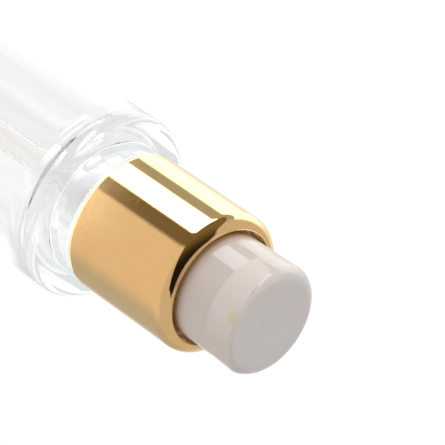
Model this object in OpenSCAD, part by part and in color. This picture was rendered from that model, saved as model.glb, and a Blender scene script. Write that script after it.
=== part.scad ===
// Foundation bottle: a clear thick-walled glass bottle with a screw-on treatment pump.
// The frame stands the bottle upright: +Z up, origin at the centre of the base,
// and the nozzle points towards -Y.

/* [Glass bottle] */
// Outer diameter of the glass body
body_d = 32.2; // [28:0.1:42]
// Height of the shoulder above the base
body_h = 76; // [60:1:110]
// Thickness of the side wall
wall_t = 2.9; // [2:0.1:4]
// Thickness of the heavy base
base_t = 7; // [4:0.5:12]
// Thickness of the glass under the shoulder
shoulder_t = 3.6; // [2.5:0.1:6]
// Rounding of the shoulder's outer edge
shoulder_r = 1.4; // [0.5:0.1:2.5]
// Rounding of the base's outer edge
base_r = 1.8; // [0.8:0.1:3]
// Height of the round glass step under the collar
step_h = 4.5; // [2:0.1:8]
// Gap between the glass step and the collar
step_gap = 0.4; // [0.2:0.1:1]
// Height of the threaded neck finish above the step
finish_h = 12.7; // [11:0.1:16]
// Wall thickness of the neck finish between its threads
finish_t = 2.2; // [1.8:0.05:3]
// Radial gap between the bore of the neck and the pump housing
neck_gap = 0.5; // [0.3:0.05:1]

/* [Thread] */
// Rise of the thread in one turn
pitch = 3.175; // [2.5:0.005:4]
// Turns of thread on the glass
glass_turns = 1.5; // [1:0.25:2]
// Turns of thread in the closure
closure_turns = 1.25; // [1:0.25:2]
// Height of the thread ridges
thread_h = 0.9; // [0.6:0.05:1.1]
// Clearance between the thread's loaded flanks
flank_gap = 0.1; // [0.05:0.01:0.2]
// Radial clearance between a ridge's crest and the wall it faces
crest_gap = 0.28; // [0.15:0.01:0.4]

/* [Collar] */
// Height of the metal collar
collar_h = 22.3; // [21:0.1:26]
// Thickness of the metal
shell_t = 0.4; // [0.3:0.05:0.6]
// Rounding of the collar's front edge, which runs from its wall to the lip round the button
collar_r = 2.15; // [1.2:0.05:2.6]
// Depth to which the collar's lip is rolled inwards round the button
lip_depth = 4.5; // [0.8:0.1:5]
// Least thickness of the closure's skirt behind its thread
closure_t = 1.2; // [0.8:0.05:2]
// Thickness of the closure's deck
deck_t = 1.2; // [0.8:0.1:2]

/* [Button] */
// Diameter of the push button where it leaves the collar
button_d = 18.4; // [17.5:0.1:23]
// Radial gap between the button and the collar's lip
button_gap = 0.65; // [0.3:0.05:1]
// Height above the collar's rim of the line from which the button flares outwards
line_rise = 6.6; // [5:0.1:8]
// Flare of the button's side above that line, in degrees
flare = 2.6; // [0:0.1:4]
// Height of the button's top above the collar's rim, on the nozzle's side
button_rise = 12.8; // [11:0.05:16]
// Slope of the button's top in degrees
top_slope = 4; // [0:0.1:10]
// Rounding of the button's top edge, away from the nozzle
top_r = 2.4; // [1:0.1:3]
// Wall thickness of the button
button_t = 1.1; // [0.9:0.1:1.5]
// Depth of the button's skirt below the collar's rim
skirt_depth = 1.5; // [1:0.1:2]
// Depth of the nozzle's centre below the top's front edge
nozzle_drop = 1.4; // [1.3:0.05:3]
// Diameter of the nozzle's face
nozzle_d = 2.2; // [1.8:0.1:3]
// Diameter of the nozzle's outlet
outlet_d = 0.7; // [0.4:0.1:1]

/* [Pump] */
// Distance the button travels
stroke = 4.3; // [2:0.1:4.3]
// Inner diameter of the pump housing
barrel_d = 8; // [7:0.1:9.8]
// Wall thickness of the pump housing
barrel_t = 1; // [0.8:0.1:1.2]
// Thickness of the pump housing's flange
flange_t = 1.2; // [0.8:0.1:2]
// Thickness of the neck gasket
gasket_t = 1; // [0.6:0.1:1.6]
// Outer diameter of the stem
stem_d = 5; // [4:0.1:6]
// Diameter of the stem's flow passage
stem_bore_d = 2.4; // [1.6:0.1:2.8]
// Radial clearance of the stem in its guide and of the piston in the housing
running_gap = 0.05; // [0.02:0.01:0.08]
// Play of the piston along the rod, which opens its ports
valve_play = 0.6; // [0.3:0.1:1]
// Diameter of the inlet ball
ball_d = 3.2; // [2.5:0.1:3.9]
// Distance the inlet ball can lift
ball_lift = 0.7; // [0.4:0.1:1]
// Diameter of the spring wire
wire_d = 0.5; // [0.4:0.05:0.7]
// Turns of the spring
spring_turns = 5; // [4:1:8]
// Gap left between the spring's coils, in all, when the button is down
spring_spare = 0.3; // [0.1:0.1:1]
// Outer diameter of the dip tube
tube_d = 4; // [3:0.1:4.8]
// Wall thickness of the dip tube
tube_t = 0.5; // [0.3:0.05:0.8]
// Gap between the dip tube's end and the glass base
tube_gap = 1.5; // [0.8:0.1:4]

/* [Hidden] */
$fn = 96;
eps = 0.01;
press_gap = 0.02;
over = 1;

// Pump housing: barrel, sleeve seat above it, shoulder in the neck and hub through the deck
barrel_rad = barrel_d / 2;
barrel_out = barrel_rad + barrel_t;
sleeve_seat_t = 1.1;
sleeve_rad = barrel_rad + sleeve_seat_t;
shoulder_wall = 1;
shoulder_rad = sleeve_rad + shoulder_wall;
hub_wall = 1.2;
hub_rad = sleeve_rad + hub_wall;
hub_gap = 0.15;
deck_hole = hub_rad + hub_gap;

// Glass: body, neck finish round the housing, and foot
body_rad = body_d / 2;
cavity_rad = body_rad - wall_t;
cavity_r = 3;
neck_bore = shoulder_rad + neck_gap;
finish_rad = neck_bore + finish_t;
finish_edge = 0.4;
foot_w = 2;
foot_h = 0.5;

// Thread: the closure's ridge runs just under the glass ridge
ridge_root = 0.95;
ridge_crest = 0.45;
ridge_sink = 0.3;
ridge_slope = (ridge_root - ridge_crest) / thread_h;
closure_in = finish_rad + thread_h + crest_gap;
thread_drop = 2 * ridge_root - ridge_slope * (thread_h + crest_gap) + flank_gap;
thread_steps = 36;
thread_end = 1.8;
closure_start = -120;

// Button and collar: the collar clears the button and covers the closure
button_rad = button_d / 2;
lip_in = button_rad + button_gap;
collar_rad = max(lip_in + collar_r, closure_in + closure_t + press_gap + shell_t);
shell_in = collar_rad - shell_t;
step_inset = 0.25;
step_rad = collar_rad - step_inset;
step_edge = 0.5;

// Heights of the stack from the shoulder to the button
step_z = body_h + step_h;
neck_z = step_z + finish_h;
thread_z = neck_z - thread_end - ridge_root - pitch * glass_turns;
collar_z = step_z + step_gap;
rim_z = collar_z + collar_h;
flange_z = neck_z + gasket_t;
deck_z = flange_z + flange_t;
deck_top = deck_z + deck_t;
button_z = rim_z - skirt_depth;
line_z = rim_z + line_rise;
top_z = rim_z + button_rise;
nozzle_z = top_z - nozzle_drop;

// Closure: a threaded skirt, a deck and a liner that backs the metal shell
closure_out = shell_in - press_gap;
skirt_inset = 0.6;
closure_z = collar_z + skirt_inset;
liner_in = lip_in + shell_t + press_gap;
liner_gap = 0.2;
liner_top = rim_z - collar_r - liner_gap;
flange_inset = 0.1;
flange_rad = finish_rad - flange_inset;
gasket_gap = 0.1;

// Lock ring: a flange over the deck, and a sleeve pressed into the housing's mouth
ring_gap = 0.1;
ring_z = deck_top + ring_gap;
ring_t = 1.2;
ring_lip = 0.9;
ring_rad = hub_rad + ring_lip;
sleeve_l = 3.2;
sleeve_z = ring_z - sleeve_l;
sleeve_t = 0.7;
guide_t = 0.8;
groove_floor = 1;
stem_rad = stem_d / 2;
guide_rad = stem_rad + running_gap;

// Stem, piston and rod, from the lock ring downwards
stop_gap = 0.1;
stem_bore = stem_bore_d / 2;
stem_flange_t = 1;
stem_flange_gap = 0.5;
stem_flange_rad = barrel_rad - stem_flange_gap;
stem_z = sleeve_z - stop_gap - stem_flange_t;
piston_h = 3.4;
piston_z = stem_z - valve_play - piston_h;
piston_rad = barrel_rad - running_gap;
piston_waist = 0.6;
piston_bore = 1.6;
lip_h = 0.9;
lip_t = 0.5;
lip_groove = 0.6;
rod_gap = 0.25;
rod_rad = piston_bore - rod_gap;
rod_plug_l = 4;
rod_head_rad = 2.6;
rod_head_t = 1.4;
rod_head_z = piston_z - running_gap - rod_head_t;
rod_tail_l = 2.4;
flow_w = 0.7;
flow_d = 0.6;

// Spring, cage and inlet valve, down to the housing's floor
spring_h = stroke + (spring_turns + 1) * wire_d + spring_spare;
spring_in = rod_rad + 0.3;
spring_mean = spring_in + wire_d / 2;
cage_t = 0.9;
cage_top = rod_head_z - spring_h;
cage_roof = cage_top - cage_t;
cage_gap = 0.35;
cage_slot = 0.9;
ball_rad = ball_d / 2;
ball_gap = 0.1;
ball_z = cage_roof - ball_gap - ball_lift - ball_rad;
cage_in = ball_rad + cage_gap;
seat_share = 0.72;
seat_rad = ball_rad * seat_share;
barrel_z = ball_z - press_gap - sqrt(ball_rad * ball_rad - seat_rad * seat_rad);
floor_t = 1.6;
floor_z = barrel_z - floor_t;
socket_l = 6;
socket_t = 1;
tube_rad = tube_d / 2;
tube_end = base_t + tube_gap;

// Inside of the button
slope_drop = 2 * button_rad * tan(top_slope);
mid_z = top_z - slope_drop / 2;
roof_z = mid_z - button_t;
pad_shift = 0.8;
pad_least = 0.4;
socket_wall = 1.1;
socket_rad = stem_rad + socket_wall;
core_gap = 0.4;
core_z = ring_z + ring_t + stroke + core_gap;
stem_plug_l = 7;
stem_top = core_z + stem_plug_l;
roof_gap = 0.1;
core_top = roof_z - socket_rad * tan(top_slope) - roof_gap;
channel_rad = 0.5;
channel_z = core_top - channel_rad;
arm_rad = channel_rad + 0.5;
nozzle_rad = nozzle_d / 2;
nozzle_l = 2.4;
nozzle_wall = 0.4;
nozzle_face = 0.6;
chamber_l = 0.3;
face_rad = button_rad + (nozzle_z - line_z) * tan(flare);
arm_end = face_rad - nozzle_l - chamber_l;
boss_l = 3.6;
boss_wall = 1;
boss_depth = 1.4;
core_ring_rise = 1.2;
core_ring_z = core_z + core_ring_rise;
core_ring_h = 3;
core_rad = button_rad - button_t - press_gap;
rib_t = 0.9;
rib_drop = 2.6;
rib_top = channel_z - nozzle_rad - rib_drop;

// A plain tube standing at z
module tube(outer, inner, height, z = 0) {
    translate([0, 0, z])
        difference() {
            cylinder(r = outer, h = height);
            translate([0, 0, -eps]) cylinder(r = inner, h = height + 2 * eps);
        }
}

// A plain rod standing at z
module rod(r, height, z = 0) {
    translate([0, 0, z]) cylinder(r = r, h = height);
}

// A rod that lies along -Y at height z, between two distances from the axis
module ray(r, from, to, z) {
    translate([0, -from, z]) rotate([90, 0, 0]) cylinder(r = r, h = to - from);
}

// The bit that a rounding of radius c takes off the outer corner at (r, z)
module corner(r, z, c, up) {
    difference() {
        translate([r - c, up ? z - c : z - eps]) square(c + eps);
        translate([r - c, up ? z - c : z + c]) circle(r = c);
    }
}

// Half outline of a disc from z0 to z1 whose outer corners are rounded by low and high
module outline(r, z0, z1, low = 0, high = 0) {
    difference() {
        translate([0, z0]) square([r, z1 - z0]);
        if (low > 0) corner(r, z0, low, false);
        if (high > 0) corner(r, z1, high, true);
    }
}

// Cross-section of a thread ridge that grows in direction dir from its wall
function ridge(dir) = [
    [-dir * ridge_sink, -ridge_root],
    [dir * thread_h, -ridge_crest],
    [dir * thread_h, ridge_crest],
    [-dir * ridge_sink, ridge_root]
];

// A helical ridge on a wall of radius r, which fades into the wall at both ends
module helix(r, dir, turns, z, start = 0) {
    n = round(turns * thread_steps);
    fade = thread_steps / 6;
    section = ridge(dir);
    points = [
        for (i = [0:n])
            let (a = 360 * i / thread_steps)
            let (f = max(0.05, min(1, i / fade, (n - i) / fade)))
            for (p = section)
                let (d = r + (p[0] * dir > 0 ? p[0] * f : p[0]))
                [d * cos(a + start), d * sin(a + start), z + pitch * a / 360 + p[1] * (1 + f) / 2]
    ];
    sides = [
        for (i = [0:n - 1])
            for (k = [0:3])
                let (a = i * 4 + k)
                let (b = i * 4 + (k + 1) % 4)
                each [[a, b, b + 4], [a, b + 4, a + 4]]
    ];
    ends = [[3, 2, 1, 0], [for (k = [0:3]) n * 4 + k]];
    faces = concat(sides, ends);
    polyhedron(points, dir < 0 ? [for (f = faces) [for (k = [len(f) - 1:-1:0]) f[k]]] : faces);
}

// Thick clear bottle with a round step and a threaded finish
module glass_bottle() {
    color([0.9, 0.92, 0.92, 0.35]) {
        difference() {
            rotate_extrude()
                union() {
                    outline(body_rad, 0, body_h, base_r, shoulder_r);
                    outline(step_rad, body_h - shoulder_t / 2, step_z, 0, step_edge);
                    outline(finish_rad, body_h, neck_z, 0, finish_edge);
                }
            rotate_extrude()
                outline(cavity_rad, base_t, body_h - shoulder_t, cavity_r, cavity_r);
            rod(neck_bore, neck_z, base_t + cavity_r);
            rod(body_rad - base_r - foot_w, foot_h + eps, -eps);
        }
        helix(finish_rad, 1, glass_turns, thread_z);
    }
}

// Gold shell: straight wall, rounded front edge and a lip rolled in round the button
module collar_shell() {
    color([0.88, 0.7, 0.42])
        rotate_extrude()
            union() {
                difference() {
                    outline(collar_rad, collar_z, rim_z, shell_t / 2, collar_r);
                    outline(shell_in, collar_z - over, rim_z - shell_t, 0, collar_r - shell_t);
                    translate([0, collar_z - over]) square([lip_in + shell_t / 2, collar_h + 2 * over]);
                }
                difference() {
                    translate([lip_in, rim_z - lip_depth]) square([shell_t, lip_depth]);
                    difference() {
                        translate([lip_in - eps, rim_z - shell_t / 2]) square(shell_t / 2 + eps);
                        translate([lip_in + shell_t / 2, rim_z - shell_t / 2]) circle(r = shell_t / 2);
                    }
                }
            }
}

// Screw cap inside the metal shell
module inner_closure() {
    color([0.93, 0.93, 0.92]) {
        tube(closure_out, closure_in, deck_z - closure_z, closure_z);
        tube(closure_out, deck_hole, deck_t, deck_z);
        tube(closure_out, liner_in, liner_top - deck_top, deck_top);
        helix(closure_in, -1, closure_turns, thread_z + pitch * closure_start / 360 - thread_drop,
              closure_start);
    }
}

// Soft washer between the glass rim and the pump's flange
module neck_gasket() {
    color([0.85, 0.85, 0.83])
        tube(flange_rad, shoulder_rad + gasket_gap, gasket_t, neck_z);
}

// Pump body: hub, flange, barrel, valve seat and dip tube socket
module pump_housing() {
    color([0.95, 0.95, 0.94])
        difference() {
            union() {
                rod(hub_rad, ring_z - flange_z, flange_z);
                rod(flange_rad, flange_t, flange_z);
                rod(shoulder_rad, flange_z - sleeve_z + shoulder_wall, sleeve_z - shoulder_wall);
                rod(barrel_out, flange_z - floor_z, floor_z);
                rod(tube_rad + socket_t, socket_l + floor_t, floor_z - socket_l);
            }
            rod(sleeve_rad, hub_rad, sleeve_z);
            rod(barrel_rad, flange_z - barrel_z, barrel_z);
            rod(seat_rad, floor_t + 2 * over, floor_z - over);
            rod(tube_rad, socket_l + over, floor_z - socket_l - over);
        }
}

// Ring that holds the pump in the closure and guides the stem
module lock_ring() {
    color([0.9, 0.9, 0.9])
        difference() {
            union() {
                rod(ring_rad, ring_t, ring_z);
                rod(sleeve_rad - press_gap, sleeve_l, sleeve_z);
            }
            rod(guide_rad, sleeve_l + ring_t + 2 * over, sleeve_z - over);
            tube(sleeve_rad - sleeve_t, guide_rad + guide_t, sleeve_l + ring_t, sleeve_z + groove_floor);
        }
}

// Hollow stem with the flange that stops it under the lock ring
module stem() {
    color([0.96, 0.96, 0.95])
        difference() {
            union() {
                rod(stem_rad, stem_top - stem_z, stem_z);
                rod(stem_flange_rad, stem_flange_t, stem_z);
            }
            rod(stem_bore, stem_top - stem_z + 2 * over, stem_z - over);
        }
}

// Piston with a sealing lip above and below its waist
module piston() {
    color([0.86, 0.88, 0.9])
        difference() {
            union() {
                rod(piston_rad - piston_waist, piston_h, piston_z);
                rod(piston_rad, lip_h, piston_z);
                rod(piston_rad, lip_h, piston_z + piston_h - lip_h);
            }
            rod(piston_bore, piston_h + 2 * over, piston_z - over);
            for (z = [piston_z - lip_h, piston_z + piston_h])
                tube(piston_rad - lip_t, piston_rad - lip_t - lip_groove,
                     lip_h + 2 * lip_groove, z - lip_groove);
        }
}

// Valve rod: plug in the stem, shank through the piston, head under it and tail in the spring
module piston_rod() {
    color([0.9, 0.9, 0.86])
        difference() {
            union() {
                rod(stem_bore, rod_plug_l + eps, stem_z - eps);
                rod(rod_rad, stem_z - rod_head_z, rod_head_z);
                rod(rod_head_rad, rod_head_t, rod_head_z);
                rod(rod_rad, rod_tail_l + eps, rod_head_z - rod_tail_l);
            }
            for (a = [0, 180])
                rotate([0, 0, a])
                    translate([rod_rad - flow_d, -flow_w / 2, piston_z + lip_t])
                        cube([2 * flow_d + over, flow_w, stem_z + rod_plug_l - piston_z]);
        }
}

// Coil spring as a stack of rings between two flat ends
module return_spring() {
    rise = (spring_h - wire_d) / spring_turns;
    color([0.75, 0.76, 0.78]) {
        for (i = [0:spring_turns])
            translate([0, 0, cage_top + wire_d / 2 + i * rise])
                rotate_extrude() translate([spring_mean, 0]) circle(d = wire_d, $fn = 24);
        for (a = [0:spring_turns - 1])
            rotate([0, 0, a * 137])
                translate([spring_mean, 0, cage_top + wire_d / 2 + a * rise])
                    cylinder(d = wire_d * 0.8, h = rise);
    }
}

// Cage over the inlet ball, on which the spring stands
module ball_cage() {
    color([0.92, 0.92, 0.9])
        difference() {
            rod(barrel_rad - press_gap, cage_top - barrel_z, barrel_z);
            rod(cage_in, cage_roof - barrel_z + over, barrel_z - over);
            for (a = [0, 90])
                rotate([0, 0, a])
                    translate([-cage_in, -cage_slot / 2, cage_roof - over / 2])
                        cube([2 * cage_in, cage_slot, cage_t + over]);
        }
}

// Steel ball of the inlet valve
module inlet_ball() {
    color([0.7, 0.71, 0.73])
        translate([0, 0, ball_z]) sphere(r = ball_rad);
}

// Clear dip tube with a slanted end
module dip_tube() {
    cut = 45;
    color([0.94, 0.92, 0.88, 0.6])
        difference() {
            tube(tube_rad, tube_rad - tube_t, floor_z - tube_end, tube_end);
            translate([tube_rad, 0, tube_end]) rotate([0, cut, 0])
                translate([-3 * tube_d, -tube_d, -3 * tube_d]) cube([3 * tube_d, 2 * tube_d, 3 * tube_d]);
        }
}

// The button's side between two heights: straight below the line and flared above it
module button_side(r, z0, z1) {
    rod(r, line_z - z0, z0);
    translate([0, 0, line_z]) cylinder(r1 = r, r2 = r + (z1 - line_z) * tan(flare), h = z1 - line_z);
}

// Solid button shape, inset all round: the side under a slanted pad whose edge is crisp
// at the nozzle and rounds off more and more towards the back
module button_blank(inset, z0) {
    r = button_rad - inset;
    pad_r = max(top_r - inset, pad_least);
    pad_rad = r + (mid_z - top_r - line_z) * tan(flare);
    reach = (pad_rad + pad_r * sin(top_slope)) / cos(top_slope) + press_gap;
    depth = 2 * (mid_z - z0);
    intersection() {
        button_side(r, z0, top_z + over);
        translate([0, 0, mid_z - inset])
            rotate([-top_slope, 0, 0])
                translate([0, -pad_shift, 0])
                    rotate_extrude() {
                        outline(reach + pad_shift, -pad_r - eps, 0, 0, pad_r);
                        translate([0, -depth]) square([2 * reach, depth - pad_r]);
                    }
    }
}

// Outer shell of the push button, with a boss inside for the nozzle
module button_shell() {
    color([0.86, 0.82, 0.8])
        difference() {
            button_blank(0, button_z);
            difference() {
                button_blank(button_t, button_z - over);
                translate([-nozzle_rad - boss_wall, -button_rad, nozzle_z - nozzle_rad - boss_depth])
                    cube([nozzle_d + 2 * boss_wall, boss_l, button_rad]);
            }
            ray(nozzle_rad, arm_end, face_rad + over, nozzle_z);
            ray(arm_rad, 0, arm_end + eps, channel_z);
        }
}

// Core of the button: stem socket, press ring, ribs and the channel to the nozzle
module button_core() {
    color([0.9, 0.88, 0.86])
        difference() {
            union() {
                rod(socket_rad, core_top - core_z, core_z);
                tube(core_rad, core_rad - rib_t, core_ring_h, core_ring_z);
                for (a = [45:90:315])
                    rotate([0, 0, a])
                        translate([0, -rib_t / 2, core_ring_z])
                            cube([core_rad - rib_t / 2, rib_t, rib_top - core_ring_z]);
                ray(arm_rad, stem_rad, arm_end, channel_z);
            }
            rod(stem_rad, stem_top - core_z + over, core_z - over);
            rod(stem_bore, channel_z - stem_top + over, stem_top - over);
            ray(channel_rad, 0, arm_end + over, channel_z);
        }
}

// Nozzle cup pressed into the side of the button
module nozzle_insert() {
    color([0.8, 0.73, 0.6])
        intersection() {
            difference() {
                ray(nozzle_rad, arm_end + chamber_l, face_rad + over, nozzle_z);
                ray(nozzle_rad - nozzle_wall, 0, face_rad - nozzle_face, nozzle_z);
                ray(outlet_d / 2, 0, face_rad + 2 * over, nozzle_z);
            }
            button_side(button_rad, button_z, top_z);
        }
}

glass_bottle();
collar_shell();
inner_closure();
neck_gasket();
pump_housing();
lock_ring();
stem();
piston();
piston_rod();
return_spring();
ball_cage();
inlet_ball();
dip_tube();
button_shell();
button_core();
nozzle_insert();
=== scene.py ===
"""Foundation bottle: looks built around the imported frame.

Lengths are in metres, and angles in radians unless named _deg.
"""
import math

import bpy
from mathutils import Matrix, Vector, noise


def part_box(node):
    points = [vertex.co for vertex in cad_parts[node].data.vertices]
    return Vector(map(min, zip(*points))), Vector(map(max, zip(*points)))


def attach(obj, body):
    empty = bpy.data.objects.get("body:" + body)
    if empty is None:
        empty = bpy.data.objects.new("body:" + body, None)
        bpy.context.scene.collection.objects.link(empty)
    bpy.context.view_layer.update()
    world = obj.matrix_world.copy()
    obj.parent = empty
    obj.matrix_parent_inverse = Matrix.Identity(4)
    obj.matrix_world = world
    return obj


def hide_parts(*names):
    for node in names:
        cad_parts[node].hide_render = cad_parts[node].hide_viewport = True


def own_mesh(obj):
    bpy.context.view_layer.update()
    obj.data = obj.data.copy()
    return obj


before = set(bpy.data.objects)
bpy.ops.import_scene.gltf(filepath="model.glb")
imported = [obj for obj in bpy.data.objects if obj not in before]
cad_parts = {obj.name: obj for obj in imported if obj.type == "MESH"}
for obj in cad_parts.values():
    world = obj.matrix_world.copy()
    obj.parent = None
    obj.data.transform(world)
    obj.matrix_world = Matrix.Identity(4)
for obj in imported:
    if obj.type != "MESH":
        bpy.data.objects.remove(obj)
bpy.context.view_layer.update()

MM = 0.001
TAU = 2 * math.pi

# ---------------------------------------------------------------- sizes read from the frame
GLASS_LO, GLASS_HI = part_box("glass_bottle")
COLLAR_LO, COLLAR_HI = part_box("collar_shell")
BUTTON_LO, BUTTON_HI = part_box("button_shell")
NOZZLE_LO, NOZZLE_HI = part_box("nozzle_insert")
CLOSURE_LO, CLOSURE_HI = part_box("inner_closure")
TUBE_LO, TUBE_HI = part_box("dip_tube")
SPRING_LO, SPRING_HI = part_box("return_spring")

GLASS_R = GLASS_HI.x
COLLAR_R = COLLAR_HI.x
BUTTON_R = 9.2 * MM
NOZZLE_R = NOZZLE_HI.x
NOZZLE_Z = (NOZZLE_LO.z + NOZZLE_HI.z) / 2

# glass wall, base and shoulder
WALL = 2.9 * MM
BASE_T = 7 * MM
SHOULDER_T = 3.6 * MM
SHOULDER_R = 1.4 * MM
BASE_R = 1.8 * MM
FOOT_W = 2 * MM
FOOT_H = 0.5 * MM
STEP_GAP = 0.4 * MM
STEP_R = COLLAR_R - 0.25 * MM
STEP_TOP = COLLAR_LO.z - STEP_GAP
SHOULDER_Z = STEP_TOP - 4.5 * MM
FINISH_R = 8.8 * MM
NECK_BORE = 6.6 * MM
CAVITY_R = 3 * MM

# thread
PITCH = 3.175 * MM
GLASS_TURNS = 1.5
CLOSURE_TURNS = 1.25
RIDGE_H = 0.9 * MM
RIDGE_ROOT = 0.95 * MM
RIDGE_CREST = 0.45 * MM
CREST_GAP = 0.28 * MM
THREAD_Z = GLASS_HI.z - 1.8 * MM - RIDGE_ROOT - PITCH * GLASS_TURNS
THREAD_DROP = 1.2444 * MM
CLOSURE_START = -TAU / 3

# collar
SHELL_T = 0.4 * MM
COLLAR_ROUND = 2.15 * MM
LIP_IN = BUTTON_R + 0.65 * MM
LIP_DEPTH = 4.5 * MM

# button
BUTTON_T = 1.1 * MM
LINE_Z = COLLAR_HI.z + 6.6 * MM
FLARE = math.tan(math.radians(2.6))
TOP_SLOPE = math.radians(4.0)
TOP_Z = COLLAR_HI.z + 12.8 * MM
MID_Z = TOP_Z - BUTTON_R * math.tan(TOP_SLOPE)
EDGE_CRISP = 0.3 * MM
EDGE_SOFT = 2.5 * MM

# ---------------------------------------------------------------- camera
SCENE = bpy.context.scene
LENS = 283.0
SENSOR = 36.0
FRAME_PX = 445
FOCAL_PX = LENS / SENSOR * FRAME_PX
PX_PER_MM = 6.56
CAMERA_AZ = math.radians(-16.5)
CAMERA_EL = math.radians(36.0)
AXIS_DIP = math.radians(34.85)
SIGHT = Vector((0, 0, COLLAR_LO.z + 25.95 * MM))
SIGHT_RIGHT = 2.29 * MM
SIGHT_DOWN = 11.71 * MM


def camera_basis():
    """Directions at the sighted point: towards the camera, and the picture's right and up."""
    back = Vector((math.sin(CAMERA_AZ) * math.cos(CAMERA_EL),
                   -math.cos(CAMERA_AZ) * math.cos(CAMERA_EL),
                   math.sin(CAMERA_EL)))
    side = Vector((0, 0, 1)).cross(back).normalized()
    rise = back.cross(side)
    right = math.cos(AXIS_DIP) * rise - math.sin(AXIS_DIP) * side
    up = -math.sin(AXIS_DIP) * rise - math.cos(AXIS_DIP) * side
    return back, right, up


def make_camera():
    back, right, up = camera_basis()
    data = bpy.data.cameras.new("camera")
    data.lens = LENS
    data.sensor_width = SENSOR
    data.clip_start = 0.01
    data.clip_end = 20
    camera = bpy.data.objects.new("camera", data)
    SCENE.collection.objects.link(camera)
    place = SIGHT + back * (FOCAL_PX / PX_PER_MM * MM)
    target = SIGHT - right * SIGHT_RIGHT + up * SIGHT_DOWN
    z = (place - target).normalized()
    x = (right - z * right.dot(z)).normalized()
    y = z.cross(x)
    turn = Matrix((x, y, z)).transposed()
    camera.matrix_world = Matrix.Translation(place) @ turn.to_4x4()
    SCENE.camera = camera


# ---------------------------------------------------------------- mesh helpers
def mesh_object(name, vertices, faces, smooth=True):
    mesh = bpy.data.meshes.new(name)
    mesh.from_pydata(vertices, [], faces)
    mesh.validate()
    mesh.update()
    piece = bpy.data.objects.new(name, mesh)
    SCENE.collection.objects.link(piece)
    if smooth:
        mesh.polygons.foreach_set("use_smooth", [True] * len(mesh.polygons))
    return piece


def arc(cr, cz, radius, start_deg, end_deg, steps):
    """Points on an arc in the (radius, height) plane."""
    angles = [math.radians(start_deg + (end_deg - start_deg) * i / steps) for i in range(steps + 1)]
    return [(cr + radius * math.cos(a), cz + radius * math.sin(a)) for a in angles]


def line(start, end, steps):
    """Evenly spaced points from start towards end, both included."""
    return [(start[0] + (end[0] - start[0]) * i / steps, start[1] + (end[1] - start[1]) * i / steps)
            for i in range(steps + 1)]


def revolve(name, outline, segments=192, shape=None, closed=True):
    """Turns a (radius, height) outline round Z. Points on the axis become poles.

    shape(r, z, angle, i) may move a point.
    """
    rows, vertices = [], []
    for i, (r, z) in enumerate(outline):
        if r < 1e-7:
            rows.append([len(vertices)])
            vertices.append((0, 0, z))
            continue
        rows.append(list(range(len(vertices), len(vertices) + segments)))
        for k in range(segments):
            a = TAU * k / segments
            rr, zz = shape(r, z, a, i) if shape else (r, z)
            vertices.append((rr * math.cos(a), rr * math.sin(a), zz))
    faces = []
    pairs = list(zip(rows, rows[1:]))
    if closed:
        pairs.append((rows[-1], rows[0]))
    for low, high in pairs:
        if len(low) == 1 and len(high) == 1:
            continue
        for k in range(segments):
            n = (k + 1) % segments
            if len(low) == 1:
                faces.append((low[0], high[n], high[k]))
            elif len(high) == 1:
                faces.append((low[k], low[n], high[0]))
            else:
                faces.append((low[k], low[n], high[n], high[k]))
    return mesh_object(name, vertices, faces)


def ridge_height(z, angle, z0, turns, start):
    """Height of a thread ridge at a point on the wall, from 0 to 1."""
    best = 0.0
    first = (angle - start) % TAU
    for lap in range(3):
        along = first + lap * TAU
        if along > turns * TAU:
            break
        off = abs(z - z0 - PITCH * along / TAU)
        fade = min(1.0, along / 0.9, (turns * TAU - along) / 0.9)
        slope = (RIDGE_ROOT - off) / (RIDGE_ROOT - RIDGE_CREST)
        step = max(0.0, min(1.0, slope))
        best = max(best, step * step * (3 - 2 * step) * max(0.0, fade))
    return best


# ---------------------------------------------------------------- materials
def new_material(name):
    """A material with its Principled shader and output, and a function that adds a node."""
    material = bpy.data.materials.new(name)
    material.use_nodes = True
    tree = material.node_tree
    shader = tree.nodes["Principled BSDF"]

    def add(kind, **inputs):
        node = tree.nodes.new(kind)
        for key, value in inputs.items():
            node.inputs[key.replace("_", " ")].default_value = value
        return node

    return material, tree, shader, add


def noise_node(tree, add, scale, detail=4.0, roughness=0.55, stretch=(1, 1, 1)):
    """Noise in object coordinates, in features per metre, stretched along the axes."""
    coords = tree.nodes.new("ShaderNodeTexCoord")
    mapping = tree.nodes.new("ShaderNodeMapping")
    mapping.inputs["Scale"].default_value = stretch
    texture = add("ShaderNodeTexNoise", Scale=scale, Detail=detail, Roughness=roughness)
    tree.links.new(coords.outputs["Object"], mapping.inputs["Vector"])
    tree.links.new(mapping.outputs["Vector"], texture.inputs["Vector"])
    return texture


def ramp_node(tree, source, stops):
    """Colour ramp with (position, colour) stops."""
    ramp = tree.nodes.new("ShaderNodeValToRGB")
    elements = ramp.color_ramp.elements
    while len(elements) < len(stops):
        elements.new(0.5)
    for element, (position, colour) in zip(elements, stops):
        element.position = position
        element.color = (*colour, 1)
    tree.links.new(source, ramp.inputs["Fac"])
    return ramp


def range_node(tree, source, low, high):
    """Maps 0..1 to low..high."""
    node = tree.nodes.new("ShaderNodeMapRange")
    node.inputs["From Min"].default_value = 0.3
    node.inputs["From Max"].default_value = 0.7
    node.inputs["To Min"].default_value = low
    node.inputs["To Max"].default_value = high
    tree.links.new(source, node.inputs["Value"])
    return node


def bump_node(tree, shader, source, distance, strength=1.0):
    bump = tree.nodes.new("ShaderNodeBump")
    bump.inputs["Strength"].default_value = strength
    bump.inputs["Distance"].default_value = distance
    tree.links.new(source, bump.inputs["Height"])
    tree.links.new(bump.outputs["Normal"], shader.inputs["Normal"])
    return bump


def calc(tree, operation, *values):
    """A math node on sockets or plain numbers."""
    node = tree.nodes.new("ShaderNodeMath")
    node.operation = operation
    for slot, value in zip(node.inputs, values):
        if isinstance(value, (int, float)):
            slot.default_value = value
        else:
            tree.links.new(value, slot)
    return node.outputs[0]


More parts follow.
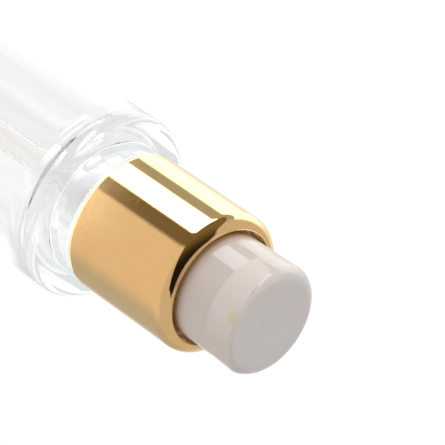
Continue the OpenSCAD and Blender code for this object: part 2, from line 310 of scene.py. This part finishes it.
def blend_colours(tree, share, first, second):
    """Mixes two colours, each a socket or a plain colour."""
    node = tree.nodes.new("ShaderNodeMixRGB")
    tree.links.new(share, node.inputs["Fac"])
    for slot, value in ((node.inputs["Color1"], first), (node.inputs["Color2"], second)):
        if isinstance(value, tuple):
            slot.default_value = (*value, 1)
        else:
            tree.links.new(value, slot)
    return node.outputs["Color"]


def rise(tree, value, low, high):
    """Smooth step from 0 at low to 1 at high."""
    node = tree.nodes.new("ShaderNodeMapRange")
    node.interpolation_type = "SMOOTHSTEP"
    node.inputs["From Min"].default_value = low
    node.inputs["From Max"].default_value = high
    tree.links.new(value, node.inputs["Value"])
    return node.outputs["Result"]


def moulded(name, colour, spread=0.03, rough=(0.3, 0.42), grain=0.01 * MM, subsurface=0.0, coat=0.0, ior=1.5):
    """Moulded plastic: slight clouding of its colour, uneven gloss and a fine grain."""
    material, tree, shader, add = new_material(name)
    clouds = noise_node(tree, add, 180.0, 3.0)
    light = tuple(min(1.0, c * (1 + spread)) for c in colour)
    dark = tuple(c * (1 - spread) for c in colour)
    ramp = ramp_node(tree, clouds.outputs["Fac"], [(0.3, dark), (0.7, light)])
    tree.links.new(ramp.outputs["Color"], shader.inputs["Base Color"])
    gloss = noise_node(tree, add, 900.0, 5.0)
    tree.links.new(range_node(tree, gloss.outputs["Fac"], *rough).outputs["Result"], shader.inputs["Roughness"])
    fine = noise_node(tree, add, 6000.0, 2.0)
    bump_node(tree, shader, fine.outputs["Fac"], grain)
    shader.inputs["IOR"].default_value = ior
    shader.inputs["Subsurface Weight"].default_value = subsurface
    shader.inputs["Subsurface Radius"].default_value = (1.2, 0.9, 0.8)
    shader.inputs["Subsurface Scale"].default_value = 0.6 * MM
    shader.inputs["Coat Weight"].default_value = coat
    shader.inputs["Coat Roughness"].default_value = 0.04
    return material


# Light given back to rays that would be lost after many bounces: inside the glass, and between lip and button
TRAPPED_GLOW = 0.28
LIP_GLOW = 0.5


def clear_glass():
    """Clear glass with faint upright striae, as moulded bottles have, and a slight ripple."""
    material, tree, shader, add = new_material("clear_glass")
    striae = noise_node(tree, add, 190.0, 2.0, 0.5, (1, 1, 0.03))
    ramp = ramp_node(tree, striae.outputs["Fac"], [(0.35, (0.80, 0.81, 0.82)), (0.65, (0.97, 0.98, 0.98))])
    tree.links.new(ramp.outputs["Color"], shader.inputs["Base Color"])
    shader.inputs["Transmission Weight"].default_value = 1.0
    shader.inputs["IOR"].default_value = 1.52
    shader.inputs["Roughness"].default_value = 0.0
    shader.inputs["Specular IOR Level"].default_value = 0.3
    ripple = noise_node(tree, add, 90.0, 2.0, 0.4, (1, 1, 0.35))
    bump_node(tree, shader, ripple.outputs["Fac"], 0.03 * MM)
    path = tree.nodes.new("ShaderNodeLightPath")
    shader.inputs["Emission Color"].default_value = (0.95, 0.98, 1.0, 1)
    deep = calc(tree, "GREATER_THAN", path.outputs["Ray Depth"], 9.5)
    bounced = calc(tree, "GREATER_THAN", path.outputs["Glossy Depth"], 2.5)
    trapped = calc(tree, "MAXIMUM", deep, bounced)
    tree.links.new(calc(tree, "MULTIPLY", trapped, TRAPPED_GLOW), shader.inputs["Emission Strength"])
    return material


def gold_metal():
    material, tree, shader, add = new_material("gold_metal")
    shader.inputs["Metallic"].default_value = 1.0
    cloud = noise_node(tree, add, 220.0, 5.0, 0.6)
    ramp = ramp_node(tree, cloud.outputs["Fac"], [(0.25, (0.97, 0.70, 0.35)), (0.75, (1.0, 0.75, 0.40))])
    tree.links.new(ramp.outputs["Color"], shader.inputs["Base Color"])
    speck = noise_node(tree, add, 9000.0, 3.0, 0.7, (1, 1, 0.8))
    tree.links.new(range_node(tree, speck.outputs["Fac"], 0.02, 0.06).outputs["Result"],
                   shader.inputs["Roughness"])
    orange = noise_node(tree, add, 5000.0, 3.0, 0.6, (1, 1, 0.8))
    bump_node(tree, shader, orange.outputs["Fac"], 0.003 * MM)
    path = tree.nodes.new("ShaderNodeLightPath")
    shader.inputs["Emission Color"].default_value = (0.50, 0.26, 0.09, 1)
    bounced = calc(tree, "GREATER_THAN", path.outputs["Glossy Depth"], 1.5)
    tree.links.new(calc(tree, "MULTIPLY", bounced, LIP_GLOW), shader.inputs["Emission Strength"])
    return material


def button_plastic():
    """Glossy white, with painted light: the upright wall is painted warmer and lighter than the top pad, and painted
    brown shade lies in the crevice by the collar lip.
    """
    material = moulded("button_plastic", (0.555, 0.525, 0.51), 0.012, (0.03, 0.05), 0.0008 * MM, 0.2)
    tree = material.node_tree
    shader = tree.nodes["Principled BSDF"]
    pad_colour = shader.inputs["Base Color"].links[0].from_socket
    # Painted light: where the normal faces sideways the colour is multiplied warmer and lighter, standing in for
    # warm light from the sides.
    geometry = tree.nodes.new("ShaderNodeNewGeometry")
    split = tree.nodes.new("ShaderNodeSeparateXYZ")
    tree.links.new(geometry.outputs["Normal"], split.inputs["Vector"])
    painted_side_light = tree.nodes.new("ShaderNodeMixRGB")
    painted_side_light.blend_type = "MULTIPLY"
    painted_side_light.inputs["Color2"].default_value = (1.16, 1.08, 1.02, 1)
    tree.links.new(rise(tree, split.outputs["Z"], 0.8, 0.2), painted_side_light.inputs["Fac"])
    tree.links.new(pad_colour, painted_side_light.inputs["Color1"])
    # Painted shade: where ambient occlusion finds the collar lip close by, the colour turns brown, a painted shadow
    # tinted like light bounced off the gold.
    crevice_ao = tree.nodes.new("ShaderNodeAmbientOcclusion")
    crevice_ao.samples = 8
    crevice_ao.inputs["Distance"].default_value = 2.4 * MM
    unshaded_share = rise(tree, crevice_ao.outputs["AO"], 0.42, 0.98)
    painted_crevice_shade = tree.nodes.new("ShaderNodeMixRGB")
    painted_crevice_shade.inputs["Color1"].default_value = (0.36, 0.21, 0.10, 1)
    tree.links.new(unshaded_share, painted_crevice_shade.inputs["Fac"])
    tree.links.new(painted_side_light.outputs["Color"], painted_crevice_shade.inputs["Color2"])
    tree.links.new(painted_crevice_shade.outputs["Color"], shader.inputs["Base Color"])
    return material


def bright_steel(name):
    material, tree, shader, add = new_material(name)
    shader.inputs["Metallic"].default_value = 1.0
    drawn = noise_node(tree, add, 3000.0, 4.0)
    ramp = ramp_node(tree, drawn.outputs["Fac"], [(0.3, (0.60, 0.61, 0.63)), (0.7, (0.72, 0.73, 0.75))])
    tree.links.new(ramp.outputs["Color"], shader.inputs["Base Color"])
    tree.links.new(range_node(tree, drawn.outputs["Fac"], 0.15, 0.3).outputs["Result"], shader.inputs["Roughness"])
    bump_node(tree, shader, drawn.outputs["Fac"], 0.004 * MM)
    return material


def milky_tube():
    material, tree, shader, add = new_material("tube_plastic")
    cloud = noise_node(tree, add, 300.0, 4.0, 0.5, (1, 1, 0.1))
    ramp = ramp_node(tree, cloud.outputs["Fac"], [(0.3, (0.965, 0.945, 0.92)), (0.7, (0.99, 0.975, 0.955))])
    tree.links.new(ramp.outputs["Color"], shader.inputs["Base Color"])
    shader.inputs["Transmission Weight"].default_value = 0.95
    shader.inputs["Roughness"].default_value = 0.15
    shader.inputs["IOR"].default_value = 1.2
    # Painted glow: a faint emission keeps the tube light where the glass shades it.
    shader.inputs["Emission Color"].default_value = (1.0, 0.97, 0.93, 1)
    shader.inputs["Emission Strength"].default_value = 0.03
    drawn = noise_node(tree, add, 2500.0, 3.0, 0.5, (1, 1, 0.05))
    bump_node(tree, shader, drawn.outputs["Fac"], 0.01 * MM)
    return material


# ---------------------------------------------------------------- pieces
def put(piece, material, body, slot, *nodes):
    """Finishes a piece: material, body, material slot (the slot argument is not used) and the CAD nodes that it
    stands for.
    """
    piece.data.materials.append(material)
    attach(piece, body)
    if nodes:
        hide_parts(*nodes)
    return piece


def glass_outline():
    """Outer wall from the foot's inner edge up to the rim, and back down through the bore and the cavity."""
    cavity = GLASS_R - WALL
    bottom, top = BASE_T, SHOULDER_Z - SHOULDER_T
    foot_in = GLASS_R - BASE_R - FOOT_W
    points = [(0, FOOT_H)]
    points += line((foot_in * 0.5, FOOT_H), (foot_in - 0.8 * MM, FOOT_H), 3)
    points += arc(foot_in - 0.1 * MM, 0.35 * MM, 0.15 * MM, 90, 0, 3)
    points += arc(foot_in + 0.25 * MM, 0.2 * MM, 0.2 * MM, 180, 270, 3)
    points += arc(GLASS_R - BASE_R, BASE_R, BASE_R, -90, 0, 12)
    points += line((GLASS_R, BASE_R + 0.5 * MM), (GLASS_R, SHOULDER_Z - SHOULDER_R - 0.5 * MM), 24)
    points += arc(GLASS_R - SHOULDER_R, SHOULDER_Z - SHOULDER_R, SHOULDER_R, 0, 90, 12)
    points += arc(STEP_R + 0.4 * MM, SHOULDER_Z + 0.4 * MM, 0.4 * MM, 270, 180, 6)
    points += arc(STEP_R - 0.5 * MM, STEP_TOP - 0.5 * MM, 0.5 * MM, 0, 90, 6)
    points += arc(FINISH_R + 0.3 * MM, STEP_TOP + 0.3 * MM, 0.3 * MM, 270, 180, 4)
    points += line((FINISH_R, STEP_TOP + 0.6 * MM), (FINISH_R, GLASS_HI.z - 0.5 * MM), 72)
    points += arc(FINISH_R - 0.4 * MM, GLASS_HI.z - 0.4 * MM, 0.4 * MM, 0, 90, 5)
    points += arc(NECK_BORE + 0.3 * MM, GLASS_HI.z - 0.3 * MM, 0.3 * MM, 90, 180, 4)
    points += line((NECK_BORE, GLASS_HI.z - 1 * MM), (NECK_BORE, top + 1.4 * MM), 16)
    points += arc(NECK_BORE + 1.2 * MM, top + 1.2 * MM, 1.2 * MM, 180, 270, 8)
    points += arc(cavity - CAVITY_R, top - CAVITY_R, CAVITY_R, 90, 0, 14)
    points += line((cavity, top - CAVITY_R - 0.5 * MM), (cavity, bottom + CAVITY_R + 0.5 * MM), 60)
    points += arc(cavity - CAVITY_R, bottom + CAVITY_R, CAVITY_R, 0, -90, 14)
    points += line((cavity * 0.7, bottom), (cavity * 0.2, bottom), 5)
    points.append((0, bottom))
    return points


def glass_shape(r, z, angle, index):
    """Thread ridge on the finish, and the slow waves that pressed glass has on its inner wall."""
    if abs(r - FINISH_R) < 1e-7 and z > STEP_TOP:
        return r + RIDGE_H * ridge_height(z, angle, THREAD_Z, GLASS_TURNS, 0), z
    inner = NECK_BORE < r < GLASS_R - WALL + 1e-7 and BASE_T + 1 * MM < z < SHOULDER_Z - SHOULDER_T + 0.1 * MM
    if inner:
        spot = Vector((math.cos(angle) * 1.6, math.sin(angle) * 1.6, z / (26 * MM)))
        return r + 0.10 * MM * noise.noise(spot) + 0.03 * MM * noise.noise(spot * 2.7), z
    return r, z


def build_glass():
    piece = revolve("glass_body", glass_outline(), 256, glass_shape, closed=False)
    piece.visible_shadow = False
    return put(piece, clear_glass(), "bottle", "clear_glass", "glass_bottle")


def build_collar():
    """Drawn shell: rolled back edge, straight wall, rounded front and a lip turned in round the button."""
    outer, inner = COLLAR_R, COLLAR_R - SHELL_T
    low, high = COLLAR_LO.z, COLLAR_HI.z
    roll = SHELL_T / 2
    points = arc(outer - roll, low + roll, roll, -90, 0, 6)
    points += line((outer, low + 0.5 * MM), (outer, high - COLLAR_ROUND - 0.2 * MM), 20)
    points += arc(outer - COLLAR_ROUND, high - COLLAR_ROUND, COLLAR_ROUND, 0, 86, 24)
    points += arc(LIP_IN + roll, high - roll, roll, 90, 180, 6)
    points += line((LIP_IN, high - 0.4 * MM), (LIP_IN, high - LIP_DEPTH + 0.1 * MM), 4)
    points += arc(LIP_IN + roll, high - LIP_DEPTH + roll, roll, 180, 360, 8)
    points += line((LIP_IN + SHELL_T, high - LIP_DEPTH + 0.3 * MM), (LIP_IN + SHELL_T, high - 1.2 * MM), 5)
    points += arc(outer - COLLAR_ROUND, high - COLLAR_ROUND, COLLAR_ROUND - SHELL_T, 70, 0, 16)
    points += line((inner, high - COLLAR_ROUND - 0.2 * MM), (inner, low + 0.5 * MM), 12)
    points += arc(inner + roll, low + roll, roll, 180, 270, 5)[:-1]
    piece = revolve("collar_gold", points, 256)
    return put(piece, gold_metal(), "collar", "gold_metal", "collar_shell")


def edge_radius(facing):
    """Rounding of the button's top edge, from crisp at the nozzle (facing 1) to soft at the sides and back."""
    front = (facing + math.sqrt(facing * facing + 0.02)) / 2
    return EDGE_CRISP + (EDGE_SOFT - EDGE_CRISP) * max(0.0, 1 - front)


def pad_height(x, y):
    """Height of the slanted top, with a very shallow finger dish and the fine curved mould line in it."""
    height = MID_Z - y * math.tan(TOP_SLOPE)
    reach = math.hypot(x, y + 0.3 * MM) / (6.2 * MM)
    height -= 0.10 * MM * max(0.0, 1 - reach * reach) ** 2
    hook = max(0.0, x - 2.6 * MM) / (1.2 * MM)
    gap = y - (-3.34 * MM - 0.13 * x + 0.7 * MM * hook * hook)
    along = abs(x + 0.15 * MM) / (4.1 * MM)
    if along < 1:
        height -= 0.12 * MM * math.exp(-(gap / (0.12 * MM)) ** 2) * min(1.0, (1 - along) * 5)
    return height


def side_radius(z):
    """Radius of the button's wall: straight up to the fine line, and flared above it."""
    return BUTTON_R + FLARE * max(0.0, z - LINE_Z)


def build_button():
    """Shell of the push button: wall with its flare, an edge whose rounding grows towards the back, and the pad."""
    segments, edge_rows, pad_rows = 360, 14, 56
    base = BUTTON_LO.z
    rows = []

    def ring(function):
        points = []
        for k in range(segments):
            a = TAU * k / segments
            points.append(function(a, -math.sin(a)))
        rows.append(points)

    def wall(r, z):
        ring(lambda a, f: (r * math.cos(a), r * math.sin(a), z))

    def edge_start(a, facing):
        """Radius and height at which the wall turns into the top edge."""
        e = edge_radius(facing)
        z = MID_Z - (BUTTON_R - e) * math.sin(a) * math.tan(TOP_SLOPE) - e
        return side_radius(z), z, e

    inner = BUTTON_R - BUTTON_T
    roof = MID_Z - BUTTON_T - BUTTON_R * math.tan(TOP_SLOPE) - 0.6 * MM
    wall(inner, roof)
    wall(inner, base + 0.3 * MM)
    for r, z in arc(inner + 0.2 * MM, base + 0.2 * MM, 0.2 * MM, 180, 270, 3):
        wall(r, z)
    for r, z in arc(BUTTON_R - 0.25 * MM, base + 0.25 * MM, 0.25 * MM, -90, 0, 4):
        wall(r, z)
    for share in (0.06, 0.3, 0.6, 0.9, 0.985):
        wall(BUTTON_R, base + (LINE_Z - base) * share)
    wall(BUTTON_R, LINE_Z - 0.02 * MM)
    wall(side_radius(LINE_Z + 0.02 * MM), LINE_Z + 0.02 * MM)
    for share in (0.02, 0.1, 0.35, 0.65, 0.9, 1.0):

        def flared(a, f):
            _, top, _ = edge_start(a, f)
            z = LINE_Z + (top - LINE_Z) * share
            return side_radius(z) * math.cos(a), side_radius(z) * math.sin(a), z

        ring(flared)
    for i in range(1, edge_rows + 1):
        turn = math.pi / 2 * i / edge_rows

        def edge(a, f):
            r, z, e = edge_start(a, f)
            reach = r - e + e * math.cos(turn)
            return reach * math.cos(a), reach * math.sin(a), z + e * math.sin(turn)

        ring(edge)
    for i in range(1, pad_rows):
        share = 1 - i / pad_rows

        def pad(a, f):
            r, z, e = edge_start(a, f)
            x, y = (r - e) * share * math.cos(a), (r - e) * share * math.sin(a)
            settle = min(1.0, (1 - share) * 8)
            return x, y, (z + e) * (1 - settle) + pad_height(x, y) * settle

        ring(pad)
    vertices = [p for row in rows for p in row]
    faces = []
    for i in range(len(rows) - 1):
        for k in range(segments):
            n = (k + 1) % segments
            faces.append((i * segments + k, i * segments + n, (i + 1) * segments + n, (i + 1) * segments + k))
    top = len(vertices)
    vertices.append((0, 0, pad_height(0, 0)))
    last = (len(rows) - 1) * segments
    for k in range(segments):
        faces.append((last + k, last + (k + 1) % segments, top))
    under = len(vertices)
    vertices.append((0, 0, roof))
    for k in range(segments):
        faces.append(((k + 1) % segments, k, under))
    piece = mesh_object("button_cap", vertices, faces)
    return put(piece, button_plastic(), "button", "button_plastic", "button_shell")


def build_nozzle():
    """Round nozzle face, flush with the wall and set off by a fine seam."""
    face, hole, rings, segments = NOZZLE_R - 0.03 * MM, 0.17 * MM, 10, 64
    vertices, faces = [], []

    def out(x, z, depth):
        return x, -math.sqrt(side_radius(NOZZLE_Z + z) ** 2 - x * x) + depth, NOZZLE_Z + z

    profile = [(face, 0.6 * MM), (face, 0.05 * MM), (face - 0.05 * MM, -0.015 * MM)]
    profile += [(face - 0.05 * MM - (face - 0.05 * MM - hole) * i / rings, -0.015 * MM) for i in range(1, rings + 1)]
    profile += [(hole * 0.7, 0.01 * MM), (hole * 0.4, 0.015 * MM)]
    for r, depth in profile:
        for k in range(segments):
            a = TAU * k / segments
            vertices.append(out(r * math.cos(a), r * math.sin(a), depth))
    for i in range(len(profile) - 1):
        for k in range(segments):
            n = (k + 1) % segments
            faces.append((i * segments + k, i * segments + n, (i + 1) * segments + n, (i + 1) * segments + k))
    end = (len(profile) - 1) * segments
    faces.append(tuple(end + k for k in range(segments)))
    faces.append(tuple(k for k in reversed(range(segments))))
    piece = mesh_object("nozzle_face", vertices, faces)
    material = moulded("nozzle_plastic", (0.66, 0.55, 0.40), 0.05, (0.22, 0.3), 0.004 * MM, 0.1)
    return put(piece, material, "button", "nozzle_plastic", "nozzle_insert")


def closure_shape(r, z, angle, index):
    """Internal thread on the closure's skirt."""
    if abs(r - (FINISH_R + RIDGE_H + CREST_GAP)) < 1e-7:
        start_z = THREAD_Z + PITCH * CLOSURE_START / TAU - THREAD_DROP
        return r - RIDGE_H * ridge_height(z, angle, start_z, CLOSURE_TURNS, CLOSURE_START), z
    return r, z


def build_closure():
    """Screw cap inside the metal shell, with its thread and a rounded lower edge."""
    outer = CLOSURE_HI.x
    skirt = FINISH_R + RIDGE_H + CREST_GAP
    deck_low = GLASS_HI.z + 2.2 * MM
    deck_high = deck_low + 1.2 * MM
    hole, liner = 6.45 * MM, LIP_IN + SHELL_T + 0.02 * MM
    low, high = CLOSURE_LO.z, CLOSURE_HI.z
    points = arc(outer - 0.3 * MM, low + 0.3 * MM, 0.3 * MM, -90, 0, 4)
    points += arc(outer - 0.2 * MM, high - 0.2 * MM, 0.2 * MM, 0, 90, 4)
    points += [(liner, high), (liner, deck_high), (hole, deck_high), (hole, deck_low)]
    points += line((skirt, deck_low), (skirt, low + 0.4 * MM), 64)
    points += [(skirt + 0.3 * MM, low)]
    piece = revolve("closure_cap", points, 192, closure_shape)
    material = moulded("closure_plastic", (0.84, 0.84, 0.83), 0.03, (0.35, 0.5), 0.01 * MM, 0.15)
    shader = material.node_tree.nodes["Principled BSDF"]
    # Painted glow: the lower part of the cap gives off light of its own, fading out towards the top, standing in for
    # light that reaches the thread through the glass.
    shader.inputs["Emission Color"].default_value = (1, 1, 1, 1)
    coords = material.node_tree.nodes.new("ShaderNodeTexCoord")
    split = material.node_tree.nodes.new("ShaderNodeSeparateXYZ")
    material.node_tree.links.new(coords.outputs["Object"], split.inputs["Vector"])
    painted_glow_share = rise(material.node_tree, split.outputs["Z"], CLOSURE_LO.z + 9 * MM, CLOSURE_LO.z + 2 * MM)
    material.node_tree.links.new(calc(material.node_tree, "MULTIPLY", painted_glow_share, 0.5), shader.inputs["Emission Strength"])
    return put(piece, material, "collar", "closure_plastic", "inner_closure")


def build_spring():
    """Helical spring with closed ends, in the space between the cage and the valve rod."""
    wire = 0.25 * MM
    mean = SPRING_HI.x - wire
    low, high = SPRING_LO.z + wire, SPRING_HI.z - wire
    turns, per_turn, sides = 5.0, 40, 12
    steps = int(turns * per_turn)
    vertices, faces = [], []
    for i in range(steps + 1):
        share = i / steps
        a = TAU * turns * share
        ends = min(share * turns, (1 - share) * turns, 1.0)
        slack = 0.5 * (1 - ends)
        climb = share + (slack * (0.5 - share)) * 0.12
        z = low + (high - low) * max(0.0, min(1.0, climb))
        for k in range(sides):
            b = TAU * k / sides
            r = mean + wire * math.cos(b)
            height = max(SPRING_LO.z, min(SPRING_HI.z, z + wire * math.sin(b)))
            vertices.append((r * math.cos(a), r * math.sin(a), height))
    for i in range(steps):
        for k in range(sides):
            n = (k + 1) % sides
            faces.append((i * sides + k, (i + 1) * sides + k, (i + 1) * sides + n, i * sides + n))
    faces.append(tuple(range(sides)))
    faces.append(tuple(reversed(range(steps * sides, (steps + 1) * sides))))
    piece = mesh_object("spring_coil", vertices, faces)
    put(piece, bright_steel("spring_steel"), "spring", "spring_steel", "return_spring")
    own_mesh(piece)
    return piece


def build_tube():
    """Dip tube with a slanted lower end."""
    outer, inner = TUBE_HI.x, TUBE_HI.x - 0.5 * MM

    def slant(r, z, a, i):
        return r, z + max(0.0, (TUBE_LO.z + 2 * TUBE_HI.x - z) / (2 * TUBE_HI.x)) * (r * math.cos(a) + outer)

    points = line((outer, TUBE_LO.z), (outer, TUBE_HI.z), 40)
    points += line((inner, TUBE_HI.z), (inner, TUBE_LO.z), 40)
    piece = revolve("dip_tube_drawn", points, 64, slant)
    return put(piece, milky_tube(), "pump_body", "tube_plastic", "dip_tube")


def finish_cad_nodes():
    """Materials for the CAD nodes that show as they are."""
    plain = moulded("pump_plastic", (0.86, 0.86, 0.85), 0.03, (0.3, 0.45), 0.01 * MM, 0.2)
    shader = plain.node_tree.nodes["Principled BSDF"]
    # Painted glow: this plastic gives off a little light of its own, so the housing, lock ring, stem and cage look
    # lit inside the glass.
    shader.inputs["Emission Color"].default_value = (1.0, 0.99, 0.97, 1)
    shader.inputs["Emission Strength"].default_value = 0.15
    waxy = moulded("piston_plastic", (0.80, 0.82, 0.84), 0.03, (0.35, 0.45), 0.01 * MM, 0.2)
    foam = moulded("gasket_foam", (0.82, 0.82, 0.80), 0.06, (0.7, 0.85), 0.05 * MM)
    core = moulded("core_plastic", (0.82, 0.80, 0.78), 0.03, (0.3, 0.45), 0.01 * MM, 0.2)
    steel = bright_steel("ball_steel")
    chosen = {
        "pump_housing": plain, "lock_ring": plain, "stem": plain, "ball_cage": plain,
        "piston": waxy, "piston_rod": waxy, "neck_gasket": foam, "button_core": core, "inlet_ball": steel,
    }
    for node, material in chosen.items():
        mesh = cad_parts[node].data
        mesh.materials.clear()
        mesh.materials.append(material)


# ---------------------------------------------------------------- studio
FLOOR_SEEN = 1.02

# Bright floor light, seen only by reflections that dip lower than this
LOW_BRIGHT_DEG = -39.5
LOW_BRIGHT = (2.35, 2.25, 2.15)

PALE_BACK = (0.9, 0.9, 0.9)
SIDE_PANEL = (2.0, 2.0, 1.9)
SHADE = (0.4, 0.4, 0.35)
SOFTBOX = (3.4, 3.4, 3.4)
BLACK_FLAG = (0.18, 0.13, 0.07)
WARM_WALL = (0.75, 0.62, 0.52)
GREY_WALL = (0.5, 0.48, 0.45)
CEILING = (0.60, 0.53, 0.46)

# Parts of the studio going round the bottle: where each starts, by degrees turned from the camera towards its
# right, how soft its edge is, and its brightness
PANELS = [
    (-140, 15, SIDE_PANEL), (-102, 2, SHADE), (-80, 2, SOFTBOX), (-43, 2, BLACK_FLAG),
    (-17, 4, WARM_WALL), (95, 20, GREY_WALL), (160, 15, PALE_BACK),
]

# The dark area overhead: its lower edge slants up to the right and stays above a lowest height. Its far edge is set
# by the tilt towards the back, less on the left and more on the right, and it ends at a place on the right.
DARK_FOOT = 0.33
DARK_LOWEST = -0.3
DARK_FAR = 0.12
DARK_FAR_LEFT = -0.46
DARK_FAR_RIGHT = 0.85
DARK_RIGHT_END = 0.68
DARK_BROWN = (0.19, 0.14, 0.065)
DARK_BLACK = (0.016, 0.010, 0.005)


def room(tree):
    """What mirror-like surfaces see of the room in each direction."""
    coords = tree.nodes.new("ShaderNodeTexCoord")
    turn = tree.nodes.new("ShaderNodeVectorRotate")
    turn.rotation_type = "Z_AXIS"
    turn.inputs["Angle"].default_value = math.pi / 2 - CAMERA_AZ
    split = tree.nodes.new("ShaderNodeSeparateXYZ")
    tree.links.new(coords.outputs["Generated"], turn.inputs["Vector"])
    tree.links.new(turn.outputs["Vector"], split.inputs["Vector"])
    front, right, up = split.outputs["X"], split.outputs["Y"], split.outputs["Z"]

    angle = calc(tree, "MULTIPLY", calc(tree, "ARCTAN2", right, front), 360 / TAU)
    ring = PALE_BACK
    for begin, soft, brightness in PANELS:
        ring = blend_colours(tree, rise(tree, angle, begin - soft, begin + soft), ring, brightness)

    start = calc(tree, "MAXIMUM", calc(tree, "ADD", right, DARK_FOOT), DARK_LOWEST)
    above = rise(tree, calc(tree, "SUBTRACT", up, start), -0.06, 0.06)
    back_tilt = calc(tree, "ARCTAN2", front, up)
    edge = calc(tree, "MULTIPLY_ADD", rise(tree, right, -0.80, -0.25), DARK_FAR_LEFT, DARK_FAR)
    edge = calc(tree, "MULTIPLY_ADD", rise(tree, right, 0.29, 0.60), DARK_FAR_RIGHT, edge)
    before = rise(tree, calc(tree, "SUBTRACT", back_tilt, edge), -0.05, 0.05)
    beside = rise(tree, right, DARK_RIGHT_END + 0.04, DARK_RIGHT_END - 0.04)
    dark = calc(tree, "MULTIPLY", calc(tree, "MULTIPLY", above, before), beside)
    depth = calc(tree, "MULTIPLY_ADD", right, 0.6, calc(tree, "MULTIPLY_ADD", up, 0.55, 0.45))
    depth = rise(tree, depth, 0.0, 1.0)

    colour = blend_colours(tree, rise(tree, up, 0.05, 0.40), ring, CEILING)
    low_edge = math.sin(math.radians(LOW_BRIGHT_DEG))
    low = calc(tree, "MULTIPLY", rise(tree, up, low_edge + 0.004, low_edge - 0.004), rise(tree, right, 0.95, 0.45))
    colour = blend_colours(tree, low, colour, LOW_BRIGHT)
    dark_colour = blend_colours(tree, depth, DARK_BROWN, DARK_BLACK)
    return blend_colours(tree, dark, colour, dark_colour)


def by_ray(tree, through, mirrored, other):
    """Colour by kind of ray: seen directly or through glass, in a mirror finish, or by matt surfaces."""
    path = tree.nodes.new("ShaderNodeLightPath")
    inside = calc(tree, "GREATER_THAN", path.outputs["Transmission Depth"], 0.5)
    seen = calc(tree, "MAXIMUM", path.outputs["Is Camera Ray"], inside)
    colour = blend_colours(tree, path.outputs["Is Glossy Ray"], other, mirrored)
    return blend_colours(tree, seen, colour, through)


def lamp(name, azimuth_deg, height, energy, size, colour=(1, 1, 1)):
    """Square lamp aimed at the bottle, turned from the camera's own direction towards its right."""
    data = bpy.data.lights.new(name, "AREA")
    data.shape = "SQUARE"
    data.size = size
    data.energy = energy
    data.color = colour
    piece = bpy.data.objects.new(name, data)
    SCENE.collection.objects.link(piece)
    a = math.radians(azimuth_deg) + CAMERA_AZ - math.pi / 2
    piece.location = (0.7 * math.cos(a), 0.7 * math.sin(a), height)
    aim = Vector(piece.location) - Vector((0, 0, 0.09))
    piece.rotation_mode = "QUATERNION"
    piece.rotation_quaternion = aim.to_track_quat("Z", "Y")
    piece.visible_camera = False
    piece.visible_glossy = False


def build_studio():
    world = bpy.data.worlds.new("studio")
    SCENE.world = world
    world.use_nodes = True
    tree = world.node_tree
    colour = by_ray(tree, (0.87, 0.88, 0.885), room(tree), (0.60, 0.59, 0.585))
    tree.links.new(colour, tree.nodes["Background"].inputs["Color"])
    tree.nodes["Background"].inputs["Strength"].default_value = 1.0

    floor = mesh_object("floor", [(-3, -3, 0), (3, -3, 0), (3, 3, 0), (-3, 3, 0)], [(0, 1, 2, 3)], False)
    white = bpy.data.materials.new("floor_white")
    white.use_nodes = True
    tree = white.node_tree
    tree.nodes.clear()
    output = tree.nodes.new("ShaderNodeOutputMaterial")
    emission = tree.nodes.new("ShaderNodeEmission")
    tree.links.new(by_ray(tree, (FLOOR_SEEN,) * 3, (1.0, 1.0, 1.0), (0.8, 0.8, 0.8)), emission.inputs["Color"])
    tree.links.new(emission.outputs["Emission"], output.inputs["Surface"])
    floor.data.materials.append(white)
    floor.visible_glossy = False

    lamp("key", -65, 0.55, 3.8, 0.5)
    lamp("fill", 80, 0.40, 0.9, 0.5, (1.0, 0.97, 0.94))


make_camera()
build_glass()
build_collar()
build_button()
build_nozzle()
build_closure()
build_spring()
build_tube()
finish_cad_nodes()
build_studio()
SCENE.view_settings.view_transform = "Standard"
